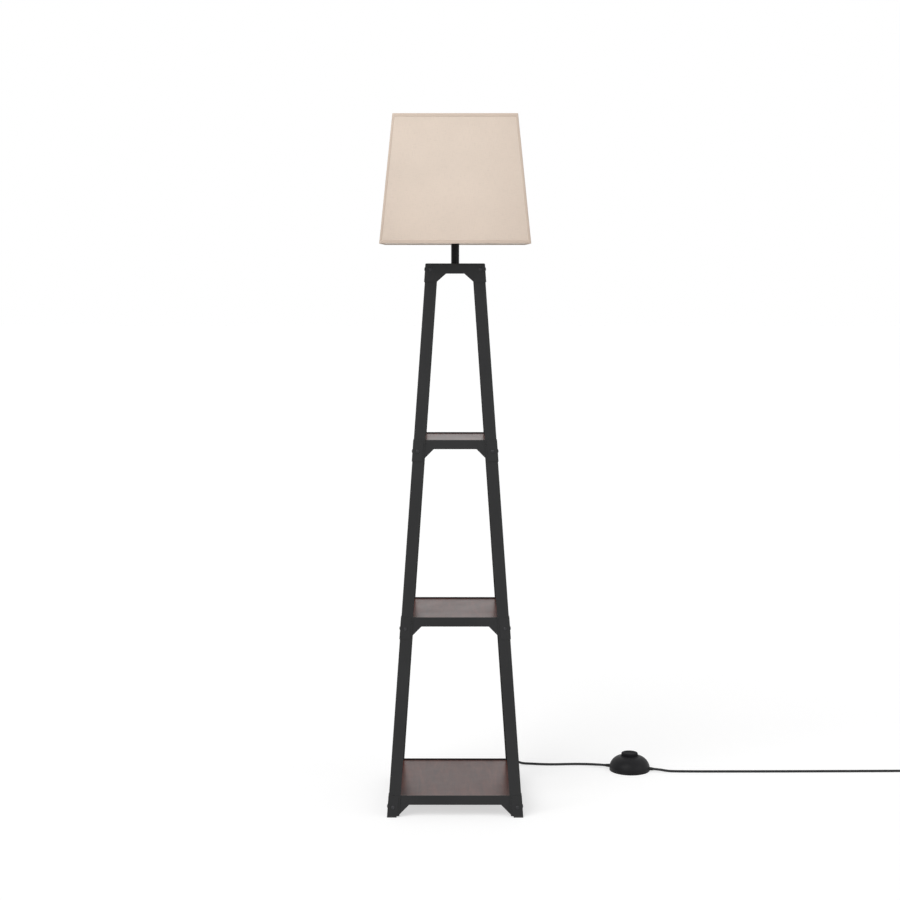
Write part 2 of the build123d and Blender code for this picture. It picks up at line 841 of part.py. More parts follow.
def wind(nodes, centre, climb=0):
    """Arcs through (angle, radius, height) nodes, half a turn apart, around a centre."""
    points = []
    ways = []
    for angle, radius, height in nodes:
        outward = Vector(cos(radians(angle)), sin(radians(angle)), 0)
        points.append(centre + outward * radius + Vector(0, 0, height))
        ways.append(Vector(-outward.Y, outward.X, climb).normalized())
    for n in range(len(nodes) - 1):
        biarc(points[n], ways[n], points[n + 1], ways[n + 1])


def switch_spring():
    """The wire spring that lifts the button."""
    low = unit_top + spring_wire / 2
    high = button_top - button_wall - spring_gap - spring_wire / 2
    radius = (spring_diameter - spring_wire) / 2
    step = (high - low) / (2 * spring_turns)
    nodes = [(180 * n, radius, low + step * n) for n in range(2 * spring_turns + 1)]
    with BuildPart() as piece:
        with BuildLine() as route:
            wind(nodes, Vector(*switch_plane.origin), step / (pi * radius))
        path = route.wires()[0]
        with BuildSketch(Plane(origin=path @ 0, z_dir=path % 0)):
            Circle(spring_wire / 2)
        sweep(path=path)
    save(piece, "switch_spring")


# ---- free cord ----------------------------------------------------------------------------
gland_end = gland_tip.origin
gland_run = gland_plane.offset(gland_length + cord_lead_in).origin
switch_end = (switch_plane * Pos(-boot_reach, 0, boot_height)).position
switch_run = (switch_plane * Pos(-boot_reach - cord_lead_in, 0, boot_height)).position
coil_end = (switch_plane * Pos(boot_reach, 0, boot_height)).position
coil_run = (switch_plane * Pos(boot_reach + cord_lead_in, 0, boot_height)).position
coil_outer = coil_inner + coil_half_turns_in * coil_pitch / 2
coil_y = coil_entry_y + coil_outer
coil_top = cord_height + coil_rise


def bend_radii(points):
    """The largest even bend at every corner of a route of straight runs."""
    runs = [points[n + 1] - points[n] for n in range(len(points) - 1)]
    radii = []
    for before, after in zip(runs, runs[1:]):
        turn = radians(before.get_angle(after))
        radii.append(bend_share * min(before.length, after.length) / tan(turn / 2))
    print(f"least bend radius {min(radii):.0f} mm")
    return radii


def floor_cord(name, points):
    """A free stretch of cord along a route of straight runs with rounded corners."""
    places = [Vector(*point) for point in points]
    with BuildLine() as route:
        FilletPolyline(*places, radius=bend_radii(places))
    cord(name, route.wires()[0])


def cord_coil():
    """The put-away coil: the spiral runs in on the floor, climbs, and runs out on top."""
    step = coil_pitch / 2
    nodes = [(180 * n - 90, coil_outer - step * n, cord_height) for n in range(coil_half_turns_in + 1)]
    turned = 180 * (coil_half_turns_in + 1) - 90
    for n in range(coil_half_turns_out + 1):
        nodes.append((turned + 180 * n, coil_inner + step * n, coil_top))
    centre = Vector(coil_x, coil_y, 0)
    with BuildLine() as route:
        Line((coil_x - cord_diameter, coil_entry_y, cord_height), (coil_x, coil_entry_y, cord_height))
        wind(nodes, centre)
        end = route.line @ 1
        Line(end, end + Vector(coil_tail, 0, 0))
    path = route.wires()[0]
    count = round(path.length / coil_sample)
    samples = [path @ (n / count) for n in range(count + 1)]
    apart = round(coil_inner / coil_sample)
    least = min((a - b).length for n, a in enumerate(samples) for b in samples[n + apart :])
    print(f"coil: least gap to itself {least - cord_diameter:.2f} mm")
    cord("cord_coil", path)
    return end + Vector(coil_tail, 0, 0)


def plug(start):
    """The moulded plug at the cord's end, and its two blades."""
    with BuildPart() as body:
        with BuildSketch(Plane(origin=start, z_dir=(1, 0, 0))):
            Circle(plug_boot_tip / 2)
        with BuildSketch(Plane(origin=start + Vector(plug_boot, 0, 0), z_dir=(1, 0, 0))):
            Circle(plug_boot_root / 2)
        loft()
        with BuildSketch(Plane(origin=start + Vector(plug_boot, 0, 0), z_dir=(1, 0, 0))):
            Rectangle(2 * coil_top, plug_width)
        extrude(amount=plug_length)
        fillet(body.edges().filter_by(Axis.X), plug_edge)
    save(body, "plug_body")
    with BuildPart() as blades:
        face = Plane(origin=start + Vector(plug_boot + plug_length, 0, 0), z_dir=(1, 0, 0))
        with BuildSketch(face):
            with Locations((0, blade_spacing / 2), (0, -blade_spacing / 2)):
                Rectangle(blade_width, blade_thickness)
        extrude(amount=blade_length)
    save(blades, "plug_blades")


# ---- every piece, in the order of assembly ------------------------------------------------
glides()
for storey, storey_name in enumerate(storeys):
    for corner in corners:
        leg(storey, corner)
        if storey > 0:
            brackets(f"bracket_{storey_name}_{corner}", storey, [corner])
    tray(storey)
    board(storey)
brackets("foot_brackets", 0, corners)
cap()
screws("frame_screws", shelf_seats)
screws("cap_screws", cap_seats)
nuts("frame_nuts", shelf_seats + cap_seats)
washer_low = cap_level - cap_sheet - washer_height
tube("stem_nipple", nipple_end, holder_base + nipple_grip, nipple_diameter, nipple_bore)
tube("stem_washer", washer_low, cap_level - cap_sheet, washer_diameter, nipple_diameter + 2 * turning_gap)
lock_nut()
tube("stem_tube", cap_level, holder_base, stem_diameter, stem_diameter - 2 * stem_wall)
holder_cup()
holder_body()
shade_ring()
bulb()
shade_cover()
shade_frame()
lead()
lead_clips()
lead_gland()
switch_base()
switch_unit()
switch_plunger()
switch_spring()
switch_button()
switch_cover()
switch_screws()
switch_boots()
floor_cord("cord_to_switch", [gland_end, gland_run, *drop_route, *switch_route, switch_run, switch_end])
coil_start = (coil_x - cord_diameter, coil_entry_y, cord_height)
floor_cord("cord_to_coil", [coil_end, coil_run, *coil_route, coil_start])
plug(cord_coil())
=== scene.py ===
from math import cos, pi, radians, sin

import bmesh
import bpy
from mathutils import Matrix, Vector, noise


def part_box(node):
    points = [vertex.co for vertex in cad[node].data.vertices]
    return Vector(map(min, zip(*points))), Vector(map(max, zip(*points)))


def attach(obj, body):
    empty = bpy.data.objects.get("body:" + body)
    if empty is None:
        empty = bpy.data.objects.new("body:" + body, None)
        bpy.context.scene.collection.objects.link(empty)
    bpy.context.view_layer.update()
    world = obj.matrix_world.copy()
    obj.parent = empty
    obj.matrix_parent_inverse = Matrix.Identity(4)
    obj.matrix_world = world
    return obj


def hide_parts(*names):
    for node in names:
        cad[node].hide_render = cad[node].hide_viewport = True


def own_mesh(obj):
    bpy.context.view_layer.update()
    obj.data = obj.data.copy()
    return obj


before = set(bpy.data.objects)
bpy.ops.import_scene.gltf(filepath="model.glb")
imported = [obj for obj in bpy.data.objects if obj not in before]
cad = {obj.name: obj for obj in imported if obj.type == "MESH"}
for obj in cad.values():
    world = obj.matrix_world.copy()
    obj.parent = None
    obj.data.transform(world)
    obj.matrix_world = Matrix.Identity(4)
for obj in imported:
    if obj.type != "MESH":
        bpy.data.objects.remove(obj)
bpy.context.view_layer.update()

scene = bpy.context.scene
scene.view_settings.view_transform = "Standard"

# ---- camera -------------------------------------------------------------------------------
# The photograph is taken from just under the shade's height, four metres in front of the
# lamp, with the lamp in the middle and the foot switch to its right.
picture_pixels = 900
focal_pixels = 1744
sensor_width = 36.0
camera_place = (-0.0032, -4.078, 1.269)
tilt_down = 0.04663
turn_left = 0.00216
picture_shift = -0.12

camera_data = bpy.data.cameras.new("photo_camera")
camera_data.sensor_width = sensor_width
camera_data.lens = sensor_width * focal_pixels / picture_pixels
camera_data.shift_y = picture_shift
camera_data.clip_end = 100
camera = bpy.data.objects.new("photo_camera", camera_data)
camera.location = camera_place
camera.rotation_euler = (pi / 2 - tilt_down, 0, turn_left)
scene.collection.objects.link(camera)
scene.camera = camera

# ---- studio -------------------------------------------------------------------------------
# A pale floor that runs on as far as the camera sees, a white room, and two wide soft lights:
# the stronger one high on the left, the other lower on the right. A soft spot brightens the
# upper half of the shade.
white = (1, 1, 1, 1)
floor_tone = (0.8, 0.8, 0.8, 1)
shadow_tone = (0.45, 0.45, 0.45, 1)
floor_reach = 30.0


def seen_directly(tree):
    """1 for rays from the camera, and for those it sees in gloss or through glass."""
    path = tree.nodes.new("ShaderNodeLightPath")
    total = path.outputs["Is Camera Ray"]
    for kind in ("Is Glossy Ray", "Is Transmission Ray"):
        add = tree.nodes.new("ShaderNodeMath")
        add.operation = "ADD"
        add.use_clamp = True
        tree.links.new(total, add.inputs[0])
        tree.links.new(path.outputs[kind], add.inputs[1])
        total = add.outputs[0]
    return total


def plain_shader(tree, kind, **settings):
    """A simple shader with its colour or strength."""
    node = tree.nodes.new(kind)
    for setting, value in settings.items():
        node.inputs[setting].default_value = value
    return node.outputs[0]


def mixed(tree, share, under, over):
    """One shader laid over another by a share."""
    node = tree.nodes.new("ShaderNodeMixShader")
    for socket, value in zip(node.inputs, (share, under, over)):
        if isinstance(value, float):
            socket.default_value = value
        else:
            tree.links.new(value, socket)
    return node.outputs[0]


world = bpy.data.worlds.new("white_room")
scene.world = world
world.use_nodes = True
room = world.node_tree
room.nodes.clear()
room_light = plain_shader(room, "ShaderNodeBackground", Color=white, Strength=0.5)
room_seen = plain_shader(room, "ShaderNodeBackground", Color=white, Strength=1.0)
room_out = room.nodes.new("ShaderNodeOutputWorld")
room.links.new(mixed(room, seen_directly(room), room_light, room_seen), room_out.inputs["Surface"])

floor_finish = bpy.data.materials.new("pale_floor")
floor_finish.use_nodes = True
tree = floor_finish.node_tree
tree.nodes.clear()
floor_bounce = plain_shader(tree, "ShaderNodeBsdfDiffuse", Color=floor_tone)
floor_shade = plain_shader(tree, "ShaderNodeBsdfDiffuse", Color=shadow_tone)
floor_white = plain_shader(tree, "ShaderNodeEmission", Strength=0.6)
floor_seen = tree.nodes.new("ShaderNodeAddShader")
tree.links.new(floor_shade, floor_seen.inputs[0])
tree.links.new(floor_white, floor_seen.inputs[1])
floor_out = tree.nodes.new("ShaderNodeOutputMaterial")
tree.links.new(
    mixed(tree, seen_directly(tree), floor_bounce, floor_seen.outputs[0]),
    floor_out.inputs["Surface"])

floor_corners = [
    (x * floor_reach, y * floor_reach, 0) for x, y in ((-1, -1), (1, -1), (1, 1), (-1, 1))]
floor_mesh = bpy.data.meshes.new("studio_floor")
floor_mesh.from_pydata(floor_corners, [], [(0, 1, 2, 3)])
floor_mesh.materials.append(floor_finish)
studio_floor = bpy.data.objects.new("studio_floor", floor_mesh)
scene.collection.objects.link(studio_floor)

# Name, where the light comes from, how wide it is in degrees, and strength.
suns = (
    ("sun_left", (-0.57, -0.70, 0.85), 40, 1.72),
    ("sun_right", (0.75, -0.62, 0.45), 60, 0.56),
)
for sun_name, sun_from, sun_width, sun_strength in suns:
    sun_data = bpy.data.lights.new(sun_name, "SUN")
    sun_data.angle = radians(sun_width)
    sun_data.energy = sun_strength
    sun = bpy.data.objects.new(sun_name, sun_data)
    sun.rotation_euler = (-Vector(sun_from)).to_track_quat("-Z", "Y").to_euler()
    scene.collection.objects.link(sun)

spot_place = Vector((-0.45, -1.25, 1.98))
spot_aim = Vector((-0.03, -0.15, 1.535))
spot_data = bpy.data.lights.new("shade_spot", "SPOT")
spot_data.energy = 34.0
spot_data.color = (0.86, 0.96, 1.0)
spot_data.spot_size = radians(17)
spot_data.spot_blend = 1.0
spot_data.shadow_soft_size = 0.2
shade_spot = bpy.data.objects.new("shade_spot", spot_data)
shade_spot.location = spot_place
shade_spot.rotation_euler = (spot_aim - spot_place).to_track_quat("-Z", "Y").to_euler()
scene.collection.objects.link(shade_spot)

# ---- free cord ----------------------------------------------------------------------------
# A round black two-core mains lead with a smooth sheath. It leaves the rubber gland in the
# rear right leg, runs on the floor through the foot switch and ends in its plug; what the
# picture doesn't show is put away in a coil beyond its right edge.
up = Vector((0, 0, 1))
cord_width = 0.006
cord_level = 0.0032


def new_finish(name):
    """A material with the standard shader, ready for its own nodes."""
    finish = bpy.data.materials.new(name)
    finish.use_nodes = True
    tree = finish.node_tree
    return finish, tree, tree.nodes["Principled BSDF"]


def grain(tree, scale, detail=2.0, roughness=0.5, stretch=(1, 1, 1), distortion=0.0, laid="Object"):
    """A noise texture laid in the lamp's own coordinates, or along its threads by "UV"."""
    place = tree.nodes.new("ShaderNodeTexCoord")
    mapping = tree.nodes.new("ShaderNodeMapping")
    mapping.inputs["Scale"].default_value = stretch
    texture = tree.nodes.new("ShaderNodeTexNoise")
    texture.inputs["Scale"].default_value = scale
    texture.inputs["Detail"].default_value = detail
    texture.inputs["Roughness"].default_value = roughness
    texture.inputs["Distortion"].default_value = distortion
    tree.links.new(place.outputs[laid], mapping.inputs["Vector"])
    tree.links.new(mapping.outputs["Vector"], texture.inputs["Vector"])
    return texture.outputs["Fac"]


def ramp(tree, value, stops):
    """Turns a value into colours at the given stops."""
    node = tree.nodes.new("ShaderNodeValToRGB")
    tree.links.new(value, node.inputs["Fac"])
    elements = node.color_ramp.elements
    while len(elements) < len(stops):
        elements.new(0.5)
    for element, (position, colour) in zip(elements, stops):
        element.position = position
        element.color = (*colour, 1)
    return node.outputs["Color"]


def spread(tree, value, low, high, out_low, out_high):
    """Maps a value from one span to another, held at both ends."""
    node = tree.nodes.new("ShaderNodeMapRange")
    node.inputs["From Min"].default_value = low
    node.inputs["From Max"].default_value = high
    node.inputs["To Min"].default_value = out_low
    node.inputs["To Max"].default_value = out_high
    tree.links.new(value, node.inputs["Value"])
    return node.outputs["Result"]


def raise_by(tree, height, distance, strength=1.0, under=None):
    """A bump of that height in metres, on top of another normal."""
    node = tree.nodes.new("ShaderNodeBump")
    node.inputs["Strength"].default_value = strength
    node.inputs["Distance"].default_value = distance
    tree.links.new(height, node.inputs["Height"])
    if under is not None:
        tree.links.new(under, node.inputs["Normal"])
    return node.outputs["Normal"]


def rounded_edges(tree, width):
    """The normal rounded over the edges by that width, and 1 on the edges, 0 beside them."""
    bevel = tree.nodes.new("ShaderNodeBevel")
    bevel.samples = 6
    bevel.inputs["Radius"].default_value = width
    surface = tree.nodes.new("ShaderNodeNewGeometry")
    compare = tree.nodes.new("ShaderNodeVectorMath")
    compare.operation = "DOT_PRODUCT"
    tree.links.new(bevel.outputs["Normal"], compare.inputs[0])
    tree.links.new(surface.outputs["Normal"], compare.inputs[1])
    return bevel.outputs["Normal"], spread(tree, compare.outputs["Value"], 0.985, 0.80, 0.0, 1.0)


def uneven_finish(
        name, dark, light, tone, gloss, gloss_span, texture, height, strength=1.0, edge=None,
        settings=()):
    """A finish uneven in colour and gloss; tone, gloss and texture say how fine each grain is."""
    finish, tree, shader = new_finish(name)
    rounded = rounded_edges(tree, edge)[0] if edge else None
    colour = ramp(tree, grain(tree, *tone), [(0.3, dark), (0.7, light)])
    roughness = spread(tree, grain(tree, *gloss), 0.3, 0.7, *gloss_span)
    normal = raise_by(tree, grain(tree, *texture), height, strength, rounded)
    tree.links.new(colour, shader.inputs["Base Color"])
    tree.links.new(roughness, shader.inputs["Roughness"])
    tree.links.new(normal, shader.inputs["Normal"])
    for setting, value in settings:
        shader.inputs[setting].default_value = value
    return finish


def cord_along(name, points, width, finish):
    """A smooth round cord that follows the points."""
    data = bpy.data.curves.new(name, "CURVE")
    data.dimensions = "3D"
    line = data.splines.new("NURBS")
    line.points.add(len(points) - 1)
    for point, place in zip(line.points, points):
        point.co = (*place, 1)
    line.order_u = 3
    line.use_endpoint_u = True
    line.resolution_u = 6
    data.bevel_depth = width / 2
    data.bevel_resolution = 5
    data.use_fill_caps = True
    data.materials.append(finish)
    piece = bpy.data.objects.new(name, data)
    scene.collection.objects.link(piece)
    return piece


cord_black = uneven_finish(
    "black_cord_sheath", (0.010, 0.010, 0.011), (0.017, 0.017, 0.018), tone=(60, 3),
    gloss=(35, 4), gloss_span=(0.38, 0.52), texture=(2600, 2), height=0.00004,
    settings=[("Specular IOR Level", 0.25)])

# The gland lies in the rear face of the leg and leans as that face does.
leg_lean = 0.0875 / 1.2625
gland_place = Vector((0.13615, 0.14965, 0.070))
gland_out = Vector((0, 1, leg_lean)).normalized()
gland_tail = 0.020
beyond_gland = 0.036

# The boots at both sides of the switch hold the cord a little above the floor.
switch_place = Vector((0.4355, 0.2210, 0))
switch_turn = -16
switch_along = Vector((cos(radians(switch_turn)), sin(radians(switch_turn)), 0))
boot_height = Vector((0, 0, 0.0066))
boot_end = 0.061
beyond_boot = 0.077

cord_to_switch = cord_along("supply_cord_to_switch", [
    gland_place + gland_out * gland_tail,
    gland_place + gland_out * beyond_gland,
    (0.1370, 0.2100, 0.0672),
    (0.1392, 0.2255, 0.0535),
    (0.1428, 0.2375, 0.0375),
    (0.1483, 0.2475, 0.0220),
    (0.1570, 0.2555, 0.0102),
    (0.1700, 0.2610, 0.0042),
    (0.1890, 0.2622, cord_level),
    (0.2160, 0.2572, cord_level),
    (0.2500, 0.2553, cord_level),
    (0.2880, 0.2588, cord_level),
    (0.3240, 0.2586, 0.0034),
    switch_place - switch_along * beyond_boot + boot_height,
    switch_place - switch_along * boot_end + boot_height,
], cord_width, cord_black)
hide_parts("cord_to_switch")
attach(cord_to_switch, "frame")

# The coil winds inwards for a turn and a half, climbs on itself in half a turn, and winds
# outwards again. The smooth line cuts inside its points, so they lie a little further out.
coil_start = (1.182, 0.2031)
coil_outer = 0.0394
coil_inner = 0.0280
coil_pitch = 0.0076
coil_inward_turns = 1.5
coil_climbed_turns = 2
coil_turns = 4
coil_steps = 16
coil_climb = 0.0068
coil_top_level = 0.0100
coil_ease = 1.012
plug_offset = (0.024, -0.0432)
plug_lead = 0.010

coil_middle = Vector((coil_start[0], coil_start[1] + coil_outer, 0))
coil_route = [
    switch_place + switch_along * boot_end + boot_height,
    switch_place + switch_along * beyond_boot + boot_height,
    (0.5290, 0.1975, 0.0034),
    (0.5600, 0.1962, cord_level),
    (0.6200, 0.1956, cord_level),
    (0.6900, 0.1960, cord_level),
    (0.7600, 0.1965, cord_level),
    (0.8300, 0.1972, cord_level),
    (0.9000, 0.1980, cord_level),
    (0.9700, 0.1990, cord_level),
    (1.0400, 0.2002, cord_level),
    (1.1050, 0.2015, cord_level),
    (1.1500, 0.2031, cord_level),
]
for step in range(coil_turns * coil_steps + 1):
    turned = step / coil_steps
    angle = radians(360 * turned - 90)
    if turned < coil_inward_turns:
        radius = coil_outer - coil_pitch * turned
        height = cord_level
    elif turned < coil_climbed_turns:
        radius = coil_inner
        climbed = (1 - cos(2 * pi * (turned - coil_inward_turns))) / 2
        height = cord_level + coil_climb * climbed
    else:
        radius = coil_inner + coil_pitch * (turned - coil_climbed_turns)
        height = coil_top_level
    around = Vector((cos(angle), sin(angle), 0)) * radius * coil_ease
    coil_route.append(coil_middle + around + up * height)
cord_end = Vector((coil_middle.x + plug_offset[0], coil_middle.y + plug_offset[1], coil_top_level))
coil_route.append(cord_end - Vector((plug_lead, 0, 0)))
coil_route.append(cord_end)
cord_to_plug = cord_along("supply_cord_to_plug", coil_route, cord_width, cord_black)
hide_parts("cord_to_coil", "cord_coil")
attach(cord_to_plug, "frame")

# ---- lead inside the frame ----------------------------------------------------------------
# The same cord, in one length from the lampholder through the nipple and down the inside of
# the rear right leg, where plastic clips hold it.


def dress(finish, *names):
    """Gives CAD pieces their finish."""
    for name in names:
        for place in cad[name].material_slots:
            place.material = finish


def calc(tree, operation, *values):
    """A sum, product or other calculation on values, kept between 0 and 1."""
    node = tree.nodes.new("ShaderNodeMath")
    node.operation = operation
    node.use_clamp = True
    for socket, value in zip(node.inputs, values):
        if isinstance(value, float):
            socket.default_value = value
        else:
            tree.links.new(value, socket)
    return node.outputs[0]


def cover_with(tree, share, under, over, how="MIX"):
    """Lays one colour over another by a share."""
    node = tree.nodes.new("ShaderNodeMix")
    node.data_type = "RGBA"
    node.blend_type = how
    for socket, value in ((node.inputs[0], share), (node.inputs[6], under), (node.inputs[7], over)):
        if isinstance(value, float):
            socket.default_value = value
        elif isinstance(value, tuple):
            socket.default_value = (*value, 1)
        else:
            tree.links.new(value, socket)
    return node.outputs[2]


def moulded(name, dark, light, gloss_low, gloss_high, texture=1600, shine=0.42):
    """A moulded plastic or rubber finish: fine texture, and edges rubbed a little lighter."""
    finish, tree, shader = new_finish(name)
    rounded, rim = rounded_edges(tree, 0.0005)
    rubbed = calc(tree, "MULTIPLY", rim, spread(tree, grain(tree, 90, 4, 0.6), 0.4, 0.65, 0, 0.8))
    colour = ramp(tree, grain(tree, 24, 4), [(0.3, dark), (0.7, light)])
    worn = tuple(0.6 * part + 0.03 for part in light)
    gloss = spread(tree, grain(tree, 40, 5, 0.6), 0.3, 0.7, gloss_low, gloss_high)
    texture_height = 0.00004
    tree.links.new(cover_with(tree, rubbed, colour, worn), shader.inputs["Base Color"])
    tree.links.new(gloss, shader.inputs["Roughness"])
    tree.links.new(
        raise_by(tree, grain(tree, texture, 3), texture_height, 1.0, rounded),
        shader.inputs["Normal"])
    shader.inputs["Specular IOR Level"].default_value = shine
    return finish


dress(cord_black, "lead")
dress(moulded("clip_nylon", (0.014, 0.014, 0.015), (0.022, 0.022, 0.024), 0.42, 0.58), "lead_clips")

# ---- glides -------------------------------------------------------------------------------
# Thin black plastic pads under the lower ends of the four legs, each moulded in one piece,
# and scuffed where the lamp slides.
glide_black = moulded("glide_plastic", (0.012, 0.012, 0.012), (0.030, 0.029, 0.028), 0.5, 0.7)
dress(glide_black, "foot_glides")

# ---- steel frame --------------------------------------------------------------------------
# Folded sheet steel: leg lengths, joint brackets, shelf frames, top cap and lampholder cup. A
# satin black powder coat with a fine orange peel, rubbed at the edges, dust on what faces up.


def facing_up(tree):
    """1 where dust can lie, 0 on walls and below."""
    surface = tree.nodes.new("ShaderNodeNewGeometry")
    parts = tree.nodes.new("ShaderNodeSeparateXYZ")
    tree.links.new(surface.outputs["Normal"], parts.inputs[0])
    return spread(tree, parts.outputs["Z"], 0.75, 1.0, 0.0, 1.0)


coat_stops = [(0.3, (0.0100, 0.0102, 0.0108)), (0.7, (0.0150, 0.0152, 0.0158))]
coat_rubbed = (0.050, 0.049, 0.048)
coat_dust = (0.20, 0.19, 0.18)
powder_black, tree, shader = new_finish("black_powder_coat")
rounded, rim = rounded_edges(tree, 0.0009)
rubbed = calc(tree, "MULTIPLY", rim, spread(tree, grain(tree, 42, 5, 0.65), 0.42, 0.66, 0.0, 0.8))
dust_patches = spread(tree, grain(tree, 26, 5, 0.6), 0.35, 0.7, 0.02, 0.16)
dusty = calc(tree, "MULTIPLY", facing_up(tree), dust_patches)
coat = cover_with(tree, rubbed, ramp(tree, grain(tree, 6, 5), coat_stops), coat_rubbed)
tree.links.new(cover_with(tree, dusty, coat, coat_dust), shader.inputs["Base Color"])
gloss = spread(tree, grain(tree, 11, 6, 0.62), 0.3, 0.7, 0.36, 0.50)
gloss_under_dust = calc(tree, "ADD", gloss, calc(tree, "MULTIPLY", dusty, 0.5))
tree.links.new(gloss_under_dust, shader.inputs["Roughness"])
peel = raise_by(tree, grain(tree, 320, 2, 0.5), 0.00010, 0.5, rounded)
tree.links.new(raise_by(tree, grain(tree, 1100, 2), 0.00004, 0.6, peel), shader.inputs["Normal"])
shader.inputs["Specular IOR Level"].default_value = 0.29
folded_sheet = [name for name in cad if name.startswith(("leg_", "bracket_", "shelf_frame_"))]
dress(powder_black, "foot_brackets", "top_cap", "lampholder_cup", *folded_sheet)

# ---- shelf boards -------------------------------------------------------------------------
# Reddish dark brown stained board under a clear lacquer, its grain from front to back. The
# lacquer mirrors the white room, more so the flatter one looks at it.
figure_stops = [
    (0.25, (0.036, 0.0095, 0.0070)), (0.48, (0.072, 0.0200, 0.0140)),
    (0.75, (0.116, 0.0350, 0.0235))]
streak_stops = [(0.30, (0.60, 0.56, 0.54)), (0.70, (1.0, 1.0, 1.0))]
pore_brown = (0.010, 0.004, 0.003)
rubbed_brown = (0.16, 0.08, 0.055)
board_dust = (0.32, 0.30, 0.28)
board_stain, tree, shader = new_finish("stained_board")
rounded, rim = rounded_edges(tree, 0.0005)
figure = grain(tree, 7, 5, 0.6, (7.0, 1.0, 7.0), 1.6)
fibres = grain(tree, 9, 6, 0.7, (40.0, 1.0, 40.0), 0.3)
pores = grain(tree, 45, 3, 0.6, (30.0, 1.0, 30.0))
streaks = ramp(tree, fibres, streak_stops)
wood = cover_with(tree, 0.85, ramp(tree, figure, figure_stops), streaks, "MULTIPLY")
pore_dark = calc(tree, "MULTIPLY", spread(tree, pores, 0.60, 0.70, 0.0, 1.0), 0.6)
wood = cover_with(tree, pore_dark, wood, pore_brown)
rubbed = calc(tree, "MULTIPLY", rim, spread(tree, grain(tree, 50, 4), 0.45, 0.65, 0.0, 0.4))
wood = cover_with(tree, rubbed, wood, rubbed_brown)
dust_patches = spread(tree, grain(tree, 20, 5, 0.6), 0.35, 0.7, 0.0, 0.05)
dusty = calc(tree, "MULTIPLY", facing_up(tree), dust_patches)
tree.links.new(cover_with(tree, dusty, wood, board_dust), shader.inputs["Base Color"])
gloss = spread(tree, grain(tree, 13, 6, 0.65), 0.3, 0.7, 0.28, 0.35)
tree.links.new(gloss, shader.inputs["Roughness"])
hollows = raise_by(tree, fibres, 0.00001, 0.03, rounded)
tree.links.new(raise_by(tree, pores, 0.000005, 0.05, hollows), shader.inputs["Normal"])
shader.inputs["Specular IOR Level"].default_value = 0.24
dress(board_stain, "board_lower", "board_middle", "board_upper")

# ---- screws and nuts ----------------------------------------------------------------------
# Black button-head screws with a hexagon socket, one in each bracket face and skirt corner.
# They go through bracket, leg and shelf frame into zinc-plated nuts on the inside.
foot_half = 0.1545
leg_sheet = 0.0018
bracket_sheet = 0.0012
tray_sheet = 0.0015
cap_sheet = 0.0015
screw_inset = 0.0108
screw_drop = 0.026
cap_screw_drop = 0.013
past_grip = 0.0036

# Radius and height of the rings that a screw's skin runs through: the shank's from its end,
# the head's and the socket's from the seat.
head_rings = (
    (0.00416, 0.00000), (0.00420, 0.00020), (0.00408, 0.00050), (0.00380, 0.00084),
    (0.00334, 0.00118), (0.00280, 0.00142), (0.00220, 0.00156), (0.00165, 0.00160))
socket_rings = ((0.00125, 0.00158), (0.00118, 0.00148), (0.00118, 0.00050), (0.00060, 0.00036))
shank_rings = ((0.0014, 0.0), (0.00198, 0.0005))
shank_radius = 0.0020
ring_points = 24


def loop_round(place, along, across, radius, count, sides=0):
    """A loop of points round a place: a circle, or a polygon of that many sides."""
    loop = []
    for step in range(count):
        angle = 2 * pi * step / count
        reach = radius
        if sides:
            part = 2 * pi / sides
            reach = radius * cos(part / 2) / cos(angle % part - part / 2)
        loop.append(place + along * (reach * cos(angle)) + across * (reach * sin(angle)))
    return loop


def skin_through(mesh, loops, joined=False):
    """Adds a skin through loops of equal length; joined runs from the last loop to the first."""
    rows = [[mesh.verts.new(point) for point in loop] for loop in loops]
    count = len(rows[0])
    pairs = list(zip(rows, rows[1:]))
    if joined:
        pairs.append((rows[-1], rows[0]))
    else:
        mesh.faces.new(list(reversed(rows[0])))
        mesh.faces.new(rows[-1])
    for low, high in pairs:
        for step in range(count):
            after = (step + 1) % count
            mesh.faces.new((low[step], low[after], high[after], high[step]))


def piece_from(name, mesh, finish, smooth=35):
    """A piece from a bmesh, smooth up to an angle, with its finish."""
    bmesh.ops.recalc_face_normals(mesh, faces=mesh.faces)
    data = bpy.data.meshes.new(name)
    mesh.to_mesh(data)
    mesh.free()
    data.materials.append(finish)
    data.shade_smooth()
    data.set_sharp_from_angle(angle=radians(smooth))
    piece = bpy.data.objects.new(name, data)
    scene.collection.objects.link(piece)
    return piece


oxide_stops = [(0.3, (0.030, 0.030, 0.032)), (0.7, (0.050, 0.050, 0.053))]
oxide_rubbed = (0.14, 0.14, 0.14)
screw_black, tree, shader = new_finish("black_oxide_screw")
rounded, rim = rounded_edges(tree, 0.0003)
oxide = ramp(tree, grain(tree, 300, 4), oxide_stops)
tree.links.new(
    cover_with(tree, calc(tree, "MULTIPLY", rim, 0.5), oxide, oxide_rubbed),
    shader.inputs["Base Color"])
tree.links.new(spread(tree, grain(tree, 500, 4), 0.3, 0.7, 0.30, 0.46), shader.inputs["Roughness"])
tree.links.new(raise_by(tree, grain(tree, 3000, 2), 0.00002, 1.0, rounded), shader.inputs["Normal"])
shader.inputs["Metallic"].default_value = 0.85


